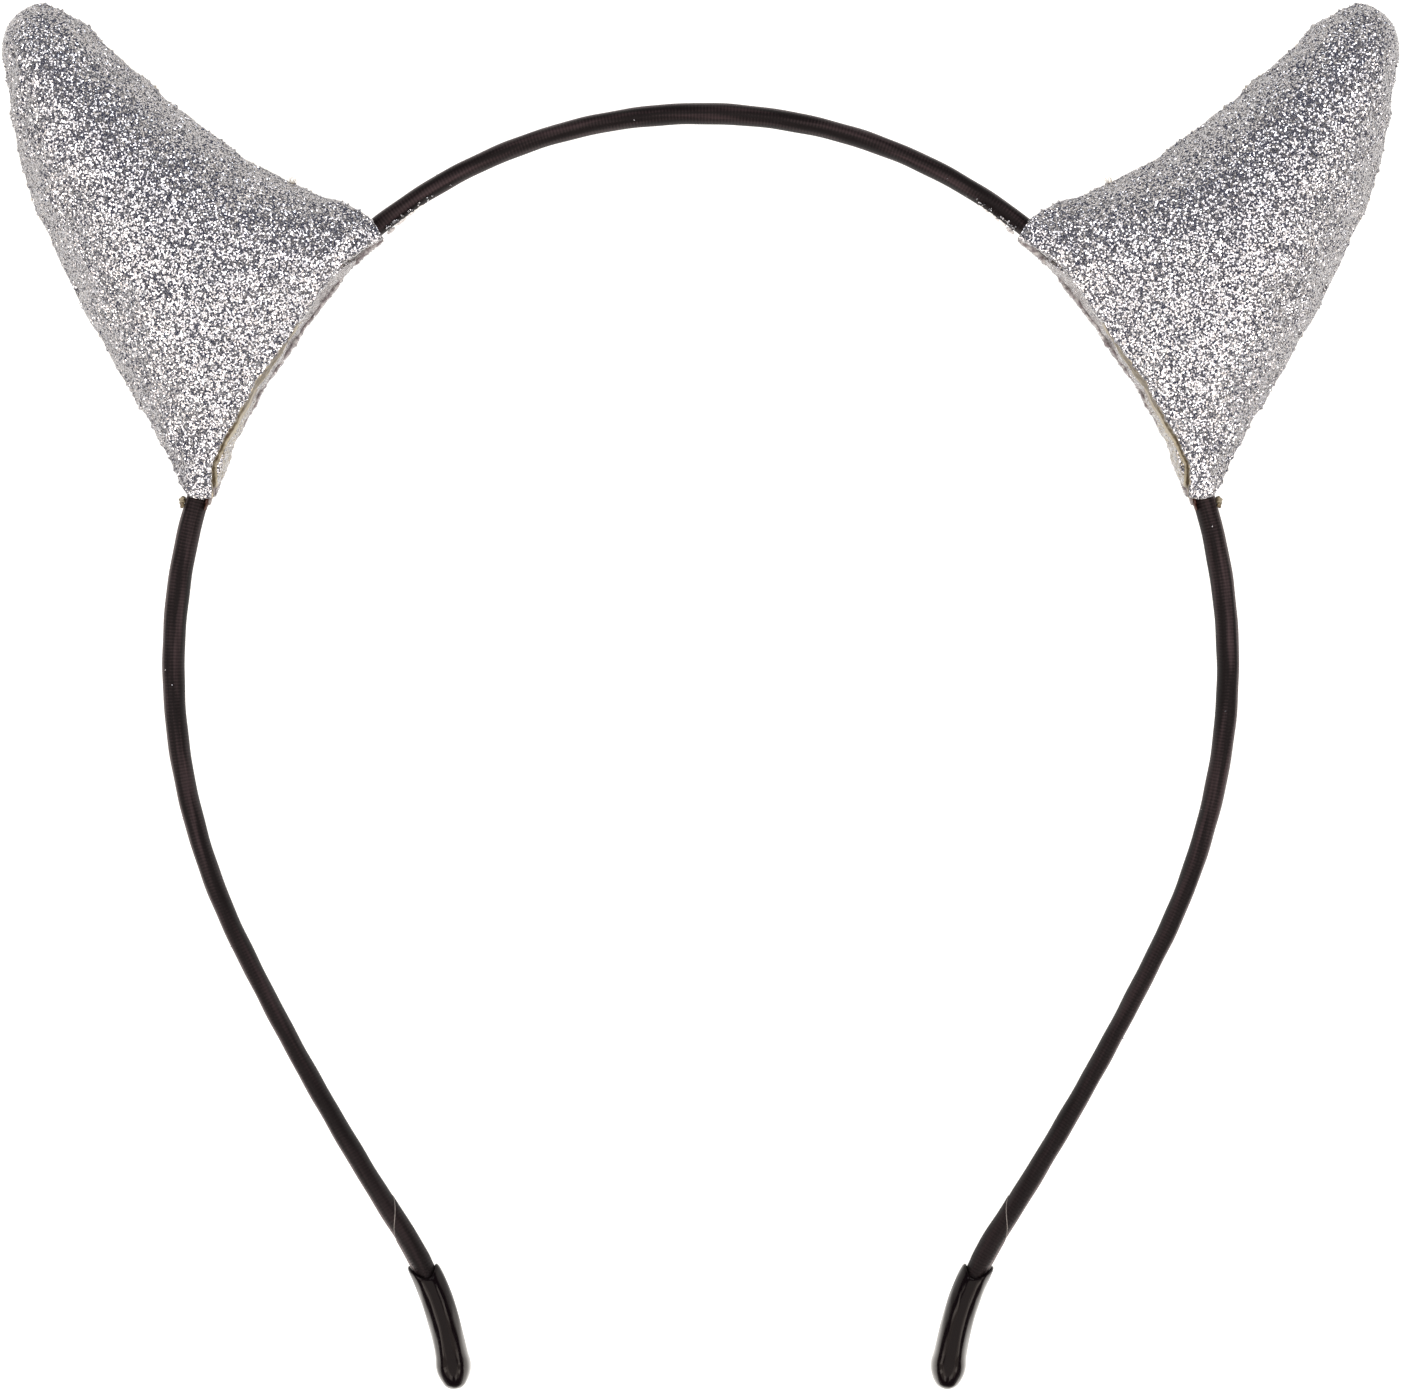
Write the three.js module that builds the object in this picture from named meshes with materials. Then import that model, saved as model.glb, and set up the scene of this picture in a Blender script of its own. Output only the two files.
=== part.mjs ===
// Headband with two padded glitter-cloth horns, lying flat on a table, in millimetres.
// The hoop is drawn in its own plane first: X to the right, Y from the open ends to the crown, Z
// to the front, with the middle of the crown arc at the origin. At the end the whole of it is laid
// down on the backs of its horns and on its two tips.
import * as THREE from 'three';

// Band: an oval strip, seen edge on from the front
const bandThickness = 2.45;
const bandDepth = 4;
const bandSides = 12;
const bandSteps = 110;

// One half of the band's middle line from the crown to the end, arcs joined without a kink
const bandArcs = [
  { radius: 62.8, turnDegrees: 62.1 }, // crown
  { radius: 71.3, turnDegrees: 40.1 }, // side
  { radius: 80.5, turnDegrees: 14 }, // flank
  { radius: 350, turnDegrees: 6.6 }, // leg, nearly straight
  { radius: 39.5, turnDegrees: -29.5 }, // end, bent back outward
];

// Tips: sleeves over the last part of the band, a row for each ring down from the mouth
const tipLength = 15.3;
const tipGap = 0.2;
const boreDepth = 9;
const boreSteps = 3;
const tipSides = 16;
const tipRings = [
  { share: 0, halfWidth: 1.72 },
  { share: 0.1, halfWidth: 1.89 },
  { share: 0.3, halfWidth: 2.04 },
  { share: 0.55, halfWidth: 2.08 },
  { share: 0.7, halfWidth: 2.16 },
  { share: 0.78, halfWidth: 2.32 },
  { share: 0.85, halfWidth: 2.2 },
  { share: 0.92, halfWidth: 1.74 },
  { share: 0.97, halfWidth: 1.1 },
  { share: 1, halfWidth: 0.3 },
];

// Horns: where each stands on the crown, counted from its top, and the cloth it is sewn from
const hornSeatDegrees = 55;
const clothThickness = 1;
const pieceGap = 0.3;
const seamGap = 0.15; // each panel's rim stands this far from the seam plane

// Sections of a horn from its base to its tip. Out is away from the band, along is toward the
// crown. Low and high are the two side edges, bow lifts the middle of the section outward, puff
// is half the thickness there, and open is how far the side edges part to let the band through.
const hornSections = [
  { lowOut: -4.4, lowAlong: -20.3, highOut: -3.7, highAlong: 16.9, bow: 2.3, puff: 5.2, open: 1 },
  { lowOut: -2.65, lowAlong: -21.8, highOut: -1.6, highAlong: 17.9, bow: 2, puff: 5.6, open: 1 },
  { lowOut: 2.35, lowAlong: -19.25, highOut: 1.8, highAlong: 17.8, bow: 1.4, puff: 6.8, open: 0.4 },
  { lowOut: 9.6, lowAlong: -15.95, highOut: 8, highAlong: 16.3, bow: 0.8, puff: 8.1, open: 0 },
  { lowOut: 18.2, lowAlong: -12, highOut: 16.5, highAlong: 15.4, bow: 0.2, puff: 8.6, open: 0 },
  { lowOut: 28.1, lowAlong: -6.7, highOut: 26, highAlong: 15.8, bow: 0, puff: 8.1, open: 0 },
  { lowOut: 36.6, lowAlong: -1.1, highOut: 34, highAlong: 16.6, bow: 0.4, puff: 7.1, open: 0 },
  { lowOut: 42.4, lowAlong: 4.7, highOut: 41.4, highAlong: 17.5, bow: 1.1, puff: 6, open: 0 },
  { lowOut: 46.2, lowAlong: 8.6, highOut: 45.8, highAlong: 16.8, bow: 1.7, puff: 4.8, open: 0 },
];
const tipRoundingStart = 0.82; // share of the horn from which its thickness rounds off to the tip
const fillingStart = 0.22; // share of the horn where the wadding begins, clear of the band
const acrossSteps = 14;
const alongSteps = 18;

// Glue strip along the open base, just inside the band, measured both ways from the horn's seat
const glueThickness = 0.45;
const glueTowardCrown = 16.4;
const glueTowardEnd = 19.4;
const glueSteps = 14;

// Rest: the back panels are pressed flat by this much where they lie
const restFlattening = 0.8;
const restSection = 3.6; // row of the section table, counted from the base, where the horn lies

const samePoint = 0.001; // corners nearer than this are one
const radians = THREE.MathUtils.degToRad;
const evenly = (steps) => Array.from({ length: steps + 1 }, (_, i) => i / steps);

// Place and direction of travel on the left half's middle line, at a distance from the crown's top
function walk(distance) {
  const place = new THREE.Vector2(0, bandArcs[0].radius);
  let heading = Math.PI;
  let left = distance;
  for (const { radius, turnDegrees } of bandArcs) {
    const bend = Math.sign(turnDegrees) * radius;
    const step = Math.min(left, radius * Math.abs(radians(turnDegrees)));
    const turn = step / bend;
    place.x += bend * (Math.sin(heading + turn) - Math.sin(heading));
    place.y += bend * (Math.cos(heading) - Math.cos(heading + turn));
    heading += turn;
    left -= step;
  }
  return { place, heading };
}

// Point beside the left half's middle line: inward is toward the head, front is toward +Z
function beside(distance, inward, front) {
  const { place, heading } = walk(distance);
  return new THREE.Vector3(place.x - Math.sin(heading) * inward, place.y + Math.cos(heading) * inward, front);
}

// Whole middle line, from the left end over the crown to the right end
class BandLine extends THREE.Curve {
  constructor(halfLength) {
    super();
    this.halfLength = halfLength;
  }

  getPoint(share, target = new THREE.Vector3()) {
    const distance = (2 * share - 1) * this.halfLength;
    const { place } = walk(Math.abs(distance));
    return target.set(-Math.sign(distance) * place.x, place.y, 0);
  }
}

// Closed skin over a row of rings with equally many points; each end ring is zipped shut across.
function skin(rings) {
  const count = rings[0].length;
  const points = rings.flat();
  const faces = [];
  for (let row = 0; row + 1 < rings.length; row += 1) {
    for (let i = 0; i < count; i += 1) {
      const next = (i + 1) % count;
      const [a, b] = [row * count + i, row * count + next];
      const [c, d] = [b + count, a + count];
      faces.push([a, b, c], [a, c, d]);
    }
  }
  const last = (rings.length - 1) * count;
  for (let i = 0, j = count - 1; i < j; i += 1, j -= 1) {
    faces.push([i, j, j - 1], [i, j - 1, i + 1]);
    faces.push([last + i, last + j - 1, last + j], [last + i, last + i + 1, last + j - 1]);
  }
  const apart = (p, q) => points[p].distanceTo(points[q]) > samePoint;
  const kept = faces.filter(([a, b, c]) => apart(a, b) && apart(b, c) && apart(a, c));
  const geometry = new THREE.BufferGeometry().setFromPoints(points);
  geometry.setIndex(kept.flat());
  return geometry;
}

function piece(name, geometry, colour, roughness, metalness) {
  geometry.computeVertexNormals();
  const material = new THREE.MeshStandardMaterial({ color: colour, roughness, metalness });
  const mesh = new THREE.Mesh(geometry, material);
  mesh.name = name;
  return mesh;
}

// Band
const halfLength = bandArcs.reduce((sum, arc) => sum + arc.radius * Math.abs(radians(arc.turnDegrees)), 0);
const tipMouth = halfLength - tipLength;
const bandOval = new THREE.Shape().absellipse(0, 0, bandDepth / 2, bandThickness / 2, 0, 2 * Math.PI);
const bandGeometry = new THREE.ExtrudeGeometry(bandOval, {
  steps: bandSteps,
  curveSegments: bandSides / 2,
  bevelEnabled: false,
  extrudePath: new BandLine(tipMouth + boreDepth - tipGap),
});

// Tip of the left end: from the bottom of the bore up to the mouth and down the outside
const depthOverWidth = (bandDepth - bandThickness) / 2;
function tipRing(distance, halfWidth, halfDepth) {
  return Array.from({ length: tipSides }, (_, i) => {
    const angle = (2 * Math.PI * i) / tipSides;
    return beside(distance, halfWidth * Math.cos(angle), halfDepth * Math.sin(angle));
  });
}
function tipGeometry() {
  const boreWidth = bandThickness / 2 + tipGap;
  const boreHeight = bandDepth / 2 + tipGap;
  const bore = evenly(boreSteps).reverse()
    .map((share) => tipRing(tipMouth + share * boreDepth, boreWidth, boreHeight));
  const outside = tipRings.map(({ share, halfWidth }) => {
    const roundOff = Math.min(1, halfWidth / tipRings[0].halfWidth);
    return tipRing(tipMouth + share * tipLength, halfWidth, halfWidth + depthOverWidth * roundOff);
  });
  return skin([...bore, ...outside]);
}

// Horn, drawn for the left side
const edgeCurve = (out, along) => new THREE.SplineCurve(
  hornSections.map((section) => new THREE.Vector2(section[out], section[along])),
);
const lowEdge = edgeCurve('lowOut', 'lowAlong');
const highEdge = edgeCurve('highOut', 'highAlong');
const fullness = edgeCurve('bow', 'puff');
const openness = edgeCurve('open', 'open');
const seat = radians(hornSeatDegrees);
const outward = new THREE.Vector2(-Math.sin(seat), Math.cos(seat));
const alongBand = new THREE.Vector2(Math.cos(seat), Math.sin(seat));
const openHeight = bandDepth / 2 + pieceGap + clothThickness;

// Point of the horn's skin on the front half, at a share across and a share from base to tip,
// moved in from the outer surface by inset.
function hornSkin(across, up, inset) {
  const low = lowEdge.getPoint(up);
  const high = highEdge.getPoint(up);
  const { x: bow, y: puff } = fullness.getPoint(up);
  const open = THREE.MathUtils.clamp(openness.getPoint(up).x, 0, 1);
  const width = low.distanceTo(high);
  const alongEdge = high.clone().sub(low).divideScalar(width);
  const rise = new THREE.Vector2(alongEdge.y, -alongEdge.x);
  const sideInset = inset * (1 - open);
  const flat = low.clone()
    .addScaledVector(alongEdge, sideInset + (width - 2 * sideInset) * across)
    .addScaledVector(rise, 4 * bow * across * (1 - across));
  const toTip = Math.max(0, (up - tipRoundingStart) / (1 - tipRoundingStart));
  const rounding = Math.sqrt(1 - Math.min(1, toTip) ** 2);
  const edge = Math.max(seamGap, (openHeight - inset) * open);
  const middle = Math.max(edge, (puff - inset) * rounding);
  const height = edge + (middle - edge) * Math.sqrt(Math.max(0, 1 - (2 * across - 1) ** 2));
  const place = outward.clone().multiplyScalar(bandArcs[0].radius + flat.x);
  place.addScaledVector(alongBand, flat.y);
  return new THREE.Vector3(place.x, place.y, height);
}

// The table top in the hoop's own frame: it touches the tips and the flattened backs of the horns.
const tipLow = tipRings.reduce((best, ring) => (ring.halfWidth > best.halfWidth ? ring : best));
const tipTouch = beside(tipMouth + tipLow.share * tipLength, 0, -(tipLow.halfWidth + depthOverWidth));
const hornTouch = hornSkin(0.5, restSection / (hornSections.length - 1), 0);
const tableSlope = (tipTouch.z - (restFlattening - hornTouch.z)) / (tipTouch.y - hornTouch.y);
const tableHeight = (y) => tipTouch.z + tableSlope * (y - tipTouch.y);

// The back half is the front one turned over and pressed on the table
function hornBack(across, up, inset) {
  const point = hornSkin(across, up, inset);
  point.z = Math.max(-point.z, tableHeight(point.y) + inset);
  return point;
}

const acrossShares = evenly(acrossSteps).map((share) => (1 - Math.cos(Math.PI * share)) / 2);
const alongShares = evenly(alongSteps);
const middleAt = (up) => lowEdge.getPoint(up).lerp(highEdge.getPoint(up), 0.5);
const hornLength = middleAt(0).distanceTo(middleAt(1));

function panelRings(surface) {
  const innerShare = 1 - clothThickness / hornLength;
  return alongShares.map((up) => [
    ...acrossShares.map((across) => surface(across, up, 0)),
    ...acrossShares.map((across) => surface(1 - across, up * innerShare, clothThickness)),
  ]);
}
const frontGeometry = () => skin(panelRings(hornSkin));
const backGeometry = () => skin(panelRings(hornBack).map((ring) => ring.reverse()));

function fillingGeometry() {
  const inset = clothThickness + pieceGap;
  const fillingEnd = 1 - inset / hornLength;
  return skin(alongShares.map((share) => {
    const up = THREE.MathUtils.lerp(fillingStart, fillingEnd, share);
    return [
      ...acrossShares.map((across) => hornSkin(across, up, inset)),
      ...acrossShares.map((across) => hornBack(1 - across, up, inset)),
    ];
  }));
}

// Glue strip: follows the band just inside it, as deep as the space between the two panels
function glueGeometry() {
  const inner = bandThickness / 2 + pieceGap;
  const seatDistance = bandArcs[0].radius * seat;
  return skin(evenly(glueSteps).map((share) => {
    const distance = seatDistance + THREE.MathUtils.lerp(-glueTowardCrown, glueTowardEnd, share);
    const deep = hornSkin(1 - share, 0, clothThickness + pieceGap).z;
    return [[inner, deep], [inner, -deep], [inner + glueThickness, -deep], [inner + glueThickness, deep]]
      .map(([inward, front]) => beside(distance, inward, front));
  }));
}

const glitter = '#b9bac0';
function sidePieces(side) {
  const group = new THREE.Group();
  group.add(
    piece(`tip_${side}`, tipGeometry(), '#0b0a0b', 0.18, 0),
    piece(`horn_${side}_front`, frontGeometry(), glitter, 0.35, 0.6),
    piece(`horn_${side}_back`, backGeometry(), glitter, 0.35, 0.6),
    piece(`horn_${side}_filling`, fillingGeometry(), '#efede6', 0.95, 0),
    piece(`horn_${side}_glue`, glueGeometry(), '#b7a67c', 0.4, 0),
  );
  return group;
}

const hoop = new THREE.Group();
const leftSide = sidePieces('left');
const rightSide = sidePieces('right');
rightSide.scale.x = -1;
hoop.add(piece('band', bandGeometry, '#221b1c', 0.55, 0), leftSide, rightSide);

// Laid down: turned about X until tips and horns touch the table, then set on it and centred
hoop.rotation.x = -Math.atan(tableSlope);
const headband = new THREE.Group();
headband.name = 'devil_horns_headband';
headband.add(hoop);
headband.updateMatrixWorld(true);
const box = new THREE.Box3().setFromObject(headband, true);
const centre = box.getCenter(new THREE.Vector3());
hoop.position.set(-centre.x, -centre.y, -box.min.z);

export default headband;
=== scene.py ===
import math

import bpy
import numpy as np
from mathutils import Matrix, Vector


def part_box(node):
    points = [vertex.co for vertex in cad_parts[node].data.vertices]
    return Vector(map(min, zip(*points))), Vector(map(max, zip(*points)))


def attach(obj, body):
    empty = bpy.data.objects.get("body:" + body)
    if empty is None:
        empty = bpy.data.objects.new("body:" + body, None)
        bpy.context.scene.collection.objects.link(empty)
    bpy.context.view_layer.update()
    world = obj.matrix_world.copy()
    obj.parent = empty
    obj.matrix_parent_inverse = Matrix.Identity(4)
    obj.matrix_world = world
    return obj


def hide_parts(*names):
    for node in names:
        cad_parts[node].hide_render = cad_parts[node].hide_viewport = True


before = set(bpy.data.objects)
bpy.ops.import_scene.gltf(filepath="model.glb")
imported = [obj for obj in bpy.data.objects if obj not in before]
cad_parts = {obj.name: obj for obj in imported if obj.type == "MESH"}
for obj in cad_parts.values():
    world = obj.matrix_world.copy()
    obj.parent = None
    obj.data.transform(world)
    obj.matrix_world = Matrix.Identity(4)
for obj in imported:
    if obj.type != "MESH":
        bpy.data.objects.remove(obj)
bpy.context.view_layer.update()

scene = bpy.context.scene
print("frame loaded:", len(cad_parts), "nodes")


# sRGB hex to the linear colour that the shaders work in
def hexColour(text):
    channel = np.array([int(text[i:i + 2], 16) for i in (1, 3, 5)]) / 255
    linear = np.where(channel <= 0.04045, channel / 12.92, ((channel + 0.055) / 1.055) ** 2.4)
    return (*linear.tolist(), 1.0)


# Adds a shader node, sets its properties, and gives each input a value, a hex colour, a socket or
# another node's first output
def addNode(tree, kind, inputs=None, **settings):
    node = tree.nodes.new("ShaderNode" + kind)
    for name, value in settings.items():
        setattr(node, name, value)
    for socket, value in (inputs or {}).items():
        if isinstance(value, bpy.types.Node):
            value = value.outputs[0]
        if isinstance(value, bpy.types.NodeSocket):
            tree.links.new(value, node.inputs[socket])
        else:
            node.inputs[socket].default_value = hexColour(value) if isinstance(value, str) else value
    return node


def newMaterial(name):
    material = bpy.data.materials.new(name)
    material.use_nodes = True
    material.node_tree.nodes.clear()
    return material, material.node_tree


def smoothStep(low, high, value):
    share = np.clip((value - low) / (high - low), 0, 1)
    return share * share * (3 - 2 * share)


# Curve through the rows of a table, equal shares of it from row to row (Catmull-Rom)
def throughRows(rows, share):
    rows = np.asarray(rows, float)
    last = len(rows) - 1
    place = np.clip(share, 0, 1) * last
    row = np.minimum(np.floor(place).astype(int), last - 1)
    t = (place - row)[..., None]
    before = rows[np.maximum(row - 1, 0)]
    here = rows[row]
    there = rows[row + 1]
    after = rows[np.minimum(row + 2, last)]
    leave = (there - before) / 2
    arrive = (after - here) / 2
    cubic = 2 * here - 2 * there + leave + arrive
    square = 3 * there - 3 * here - 2 * leave - arrive
    return ((cubic * t + square) * t + leave) * t + here


# A coarse grid of vectors drawn finer, first from row to row and then from column to column
def finerGrid(grid, rows, columns):
    coarseRows, coarseColumns, size = grid.shape
    grid = throughRows(grid.reshape(coarseRows, -1), np.linspace(0, 1, rows))
    grid = grid.reshape(rows, coarseColumns, size).swapaxes(0, 1)
    grid = throughRows(grid.reshape(coarseColumns, -1), np.linspace(0, 1, columns))
    return grid.reshape(columns, rows, size).swapaxes(0, 1)


# Quads of a grid whose columns close into a ring; each end ring is zipped shut, pairing a point
# with the one across from it
def shellFaces(rows, columns):
    row, column = np.meshgrid(np.arange(rows - 1), np.arange(columns), indexing="ij")
    a = row * columns + column
    b = row * columns + (column + 1) % columns
    walls = np.stack([a, b, b + columns, a + columns], -1).reshape(-1, 4)
    i = np.arange(columns // 2 - 1)
    j = columns - 1 - i
    start = np.stack([i, j, j - 1, i + 1], -1)
    return np.concatenate([walls, start, (rows - 1) * columns + start[:, ::-1]])


# Several shells of one grid size as the faces of one mesh
def manyFaces(count, faces, points):
    return (np.arange(count)[:, None, None] * points + faces).reshape(-1, 4)


# Puts points in metres and their quads into one mesh object, with the faces pointing out;
# wrap is the length of a map that runs round a ring
def quadPiece(name, points, faces, materials, slots=None, uv=None, wrap=None, attributes=None):
    points = points.reshape(-1, 3)
    corners = points[faces]
    normal = np.cross(corners[:, 2] - corners[:, 0], corners[:, 3] - corners[:, 1])
    if (corners.mean(1) * normal).sum() < 0:
        faces = faces[:, ::-1]
    mesh = bpy.data.meshes.new(name)
    mesh.vertices.add(len(points))
    mesh.vertices.foreach_set("co", points.astype(np.float32).ravel())
    mesh.loops.add(faces.size)
    mesh.loops.foreach_set("vertex_index", faces.astype(np.int32).ravel())
    mesh.polygons.add(len(faces))
    mesh.polygons.foreach_set("loop_start", np.arange(0, faces.size, 4, dtype=np.int32))
    mesh.polygons.foreach_set("use_smooth", np.ones(len(faces), bool))
    for material in materials:
        mesh.materials.append(material)
    if slots is not None:
        mesh.polygons.foreach_set("material_index", slots.astype(np.int32))
    if uv is not None:
        flat = uv.reshape(-1, 2)[faces]
        flat[..., 1] += wrap * (flat[..., 1].max(1, keepdims=True) - flat[..., 1] > wrap / 2)
        layer = mesh.uv_layers.new(name="ribbon")
        layer.data.foreach_set("uv", flat.astype(np.float32).ravel())
    for key, values in (attributes or {}).items():
        layer = mesh.attributes.new(key, "FLOAT", "POINT")
        layer.data.foreach_set("value", values.astype(np.float32).ravel())
    mesh.update(calc_edges=True)
    mesh.validate()
    piece = bpy.data.objects.new(name, mesh)
    scene.collection.objects.link(piece)
    return piece


def finishPiece(piece, slot, *nodes):
    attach(piece, "root")
    if nodes:
        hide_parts(*nodes)
    print("made", piece.name, len(piece.data.polygons), "faces")
    return piece


# Band, drawn in the hoop's own plane in millimetres: X right, Y to the crown, Z to the front,
# the centre of the crown arc at the origin
band = {
    "thickness": 2.45,  # on the average, where other pieces have to clear it
    "depth": 4.0,
    # width over the wound ribbon, every 15 mm from the crown
    "widths": [2.58, 2.3, 2.22, 2.25, 2.4, 2.5, 2.8, 2.66, 2.48, 2.3, 2.24, 2.36, 2.5, 2.5],
    "widthStep": 15.0,
    "arcs": [(62.8, 62.1), (71.3, 40.1), (80.5, 14.0), (350.0, 6.6), (39.5, -29.5)],  # radius, turn
    "endInTip": 8.8,
    "alongSteps": 1300,
    "aroundSteps": 32,
    "unevenness": 0.035,
    "waves": [(0.71, 2, 0.0), (1.13, -1, 1.0)],  # radians a millimetre along, waves round, start
    "rib": 0.4,  # millimetres from cross rib to cross rib, drawn coarser than the weave so that it shows
    "ribWeight": 0.09,  # how much the ribs count beside the streaks
    "lit": (0.5, 0.8),  # pattern values that are all dark and all light
    "lapStep": 0.1,  # height of the ribbon's last lap
    "lapEase": 0.1,  # half the width of that step
    "lapSinks": 1.5,  # before the tip's mouth, where it goes back to nothing
    "lapFromMouth": (9.6, 4.3),  # where the lap's edge crosses the inner and the outer side
    "lapLine": 0.07,  # half width of the pale thread along that edge
    "threadShows": 0.6,
    "streak": (14.0, 1.1),  # length and width of the ribbon's streaks
    "paintedSheen": (0.115, 0.135),  # half width of the painted sheen along the ribbon's outer side, in shares of the way round
    "paintedSheenShows": 0.7,
    "paintedEndShade": (75.0, 12.0),  # millimetres before the tip's mouth where the painted shade begins and where it is deepest
    "paintedEndShadeLight": 0.3,  # share of its lightness left under the painted shade there
    "dark": "#0d0707",
    "light": "#362a2b",
    "paintedSheenLight": "#524847",
    "thread": "#9a928c",
}
tip = {
    "length": 15.3,
    "gap": 0.2,  # to the band
    "bore": 9.0,  # depth
    # share of the length from the mouth, half width
    "rings": [(0.0, 1.60), (0.012, 1.74), (0.04, 1.82), (0.1, 1.89), (0.2, 1.97), (0.3, 2.04), (0.43, 2.07),
              (0.58, 2.08), (0.7, 2.16), (0.78, 2.32), (0.85, 2.2), (0.92, 1.74), (0.97, 1.1), (1.0, 0.02)],
    "scallop": 1.5,  # how far the mouth dips at the front and the back
    "skew": 1.2,  # how much higher it stands on the outer side
    "scallopFades": 5.0,
    "aroundSteps": 56,
    "boreSteps": 14,
    "lip": 0.1,  # share of the length that has the lip's steps, and at the other end the round's
    "lipSteps": 16,
    "sleeveSteps": 44,
    "roundSteps": 18,
}
bandLength = sum(radius * abs(math.radians(turn)) for radius, turn in band["arcs"])
tipMouth = bandLength - tip["length"]
ribbonRound = math.pi * (band["thickness"] + band["depth"]) / 2  # close to the way round the oval


# Middle line of the left half: arcs end to end, each turning the heading by length over radius
def walkBand(distance):
    left = np.array(distance, float)
    x = np.zeros_like(left)
    y = np.full_like(left, band["arcs"][0][0])
    heading = np.full_like(left, np.pi)
    for radius, degrees in band["arcs"]:
        bend = math.copysign(radius, degrees)
        step = np.minimum(left, radius * abs(math.radians(degrees)))
        turn = step / bend
        x += bend * (np.sin(heading + turn) - np.sin(heading))
        y += bend * (np.cos(heading) - np.cos(heading + turn))
        heading = heading + turn
        left = left - step
    return x, y, heading


# Point beside the middle line: inward is toward the head, front is toward the viewer
def besideBand(distance, inward, front):
    x, y, heading = walkBand(distance)
    place = np.broadcast_arrays(x - np.sin(heading) * inward, y + np.cos(heading) * inward, front)
    return np.stack(place, -1)


# Horns: sections from base to tip in the horn's own plane, with out away from the band and along
# toward the crown; low and high are the side edges, bow lifts a section's middle outward, puff is
# half its thickness and open parts the side edges for the band
horn = {
    "seat": 55.0,  # degrees from the top of the crown
    "cloth": 1.0,  # thickness
    "gap": 0.3,  # to the band and the wadding
    "seam": 0.15,  # half the gap between the panels at the side seams
    # low out, low along, high out, high along, bow, puff, open
    "sections": [
        (-4.4, -20.3, -3.7, 16.9, 2.3, 5.2, 1.0),
        (-2.65, -21.8, -1.6, 17.9, 2.0, 5.6, 1.0),
        (2.35, -19.25, 1.8, 17.8, 1.4, 6.8, 0.4),
        (9.6, -15.95, 8.0, 16.3, 0.8, 8.1, 0.0),
        (18.2, -12.0, 16.5, 15.4, 0.2, 8.6, 0.0),
        (28.1, -6.7, 26.0, 15.8, 0.0, 8.1, 0.0),
        (36.6, -1.1, 34.0, 16.6, 0.4, 7.1, 0.0),
        (42.4, 4.7, 41.4, 17.5, 1.1, 6.0, 0.0),
        (46.2, 8.6, 45.8, 16.8, 1.7, 4.8, 0.0),
    ],
    "roundFrom": 0.82,  # share of the way up where the tip begins to round off
    "flattened": 0.8,  # how far the table presses the back in
    "restRow": 3.6,  # section that rests on the table
    "puckers": [(0.1, 6.7, 0.6), (0.08, 12.3, 2.1)],  # depth, waves from base to tip, start
    "softness": 0.25,  # over this height the cloth eases on to the table
    # how far each panel's cut base hangs toward the head, at shares from the low to the high corner
    "reach": {
        "front": [(0.0, 1.0), (0.04, 0.27), (0.09, -0.4), (0.17, -0.12), (0.34, 0.08), (0.46, 0.35),
                  (0.64, 0.38), (0.71, 0.1), (0.8, -0.3), (0.87, -0.25), (0.94, 0.2), (1.0, 0.5)],
        "back": [(0.0, 0.4), (0.09, 0.42), (0.2, 0.12), (0.33, 0.12), (0.5, 0.3), (0.66, 0.25),
                 (0.75, 0.05), (0.87, -0.25), (0.95, -0.05), (1.0, 0.0)],
    },
    "reachFades": 0.16,  # share of the sections over which that goes back to nothing
    "rawEdge": 0.06,  # how ragged the cut is
    "rawFades": 0.015,
    "acrossSteps": 150,
    "alongSteps": 190,
    "grit": 0.022,  # how far flakes stand up and lie low
    "proudFlakes": 0.04,  # share of them that stick out
    "proud": 0.12,  # how far
    "fray": 0.8,  # how much rougher the seams are
    "frayWidth": 0.01,  # share of the way across
    "seeds": {"front": 7, "back": 8},
    "bareEdge": 0.5,  # worn strip along the raw base edge
    "bare": 0.56,  # how worn it is
    "bareTo": (0.5, 0.68),  # shares of the base, from the low corner, where the worn strip fades and ends
    "soakedAndShaded": 0.62,  # share of the front panel's base that glue has run into, whose cut edge also carries painted shade, from the low corner
    "soakedRows": 8,  # rows of the back panel's inner side that it has, at the base
    # glue tones: the front's dark olive is glue plus painted shade under the cut edge, the back's is glue
    # alone
    "soakedAndShadeTone": {"front": 0.8, "back": 0.2},
    "cutWaves": [(0.08, 4.3, 0.0), (0.06, 9.1, 1.0)],  # depth, waves along a panel's base, start
}
seat = math.radians(horn["seat"])
outward = np.array([-math.sin(seat), math.cos(seat)])
alongBand = np.array([math.cos(seat), math.sin(seat)])
backward = np.array([1.0, 1.0, -1.0])
rightward = np.array([-1.0, 1.0, 1.0])


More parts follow.
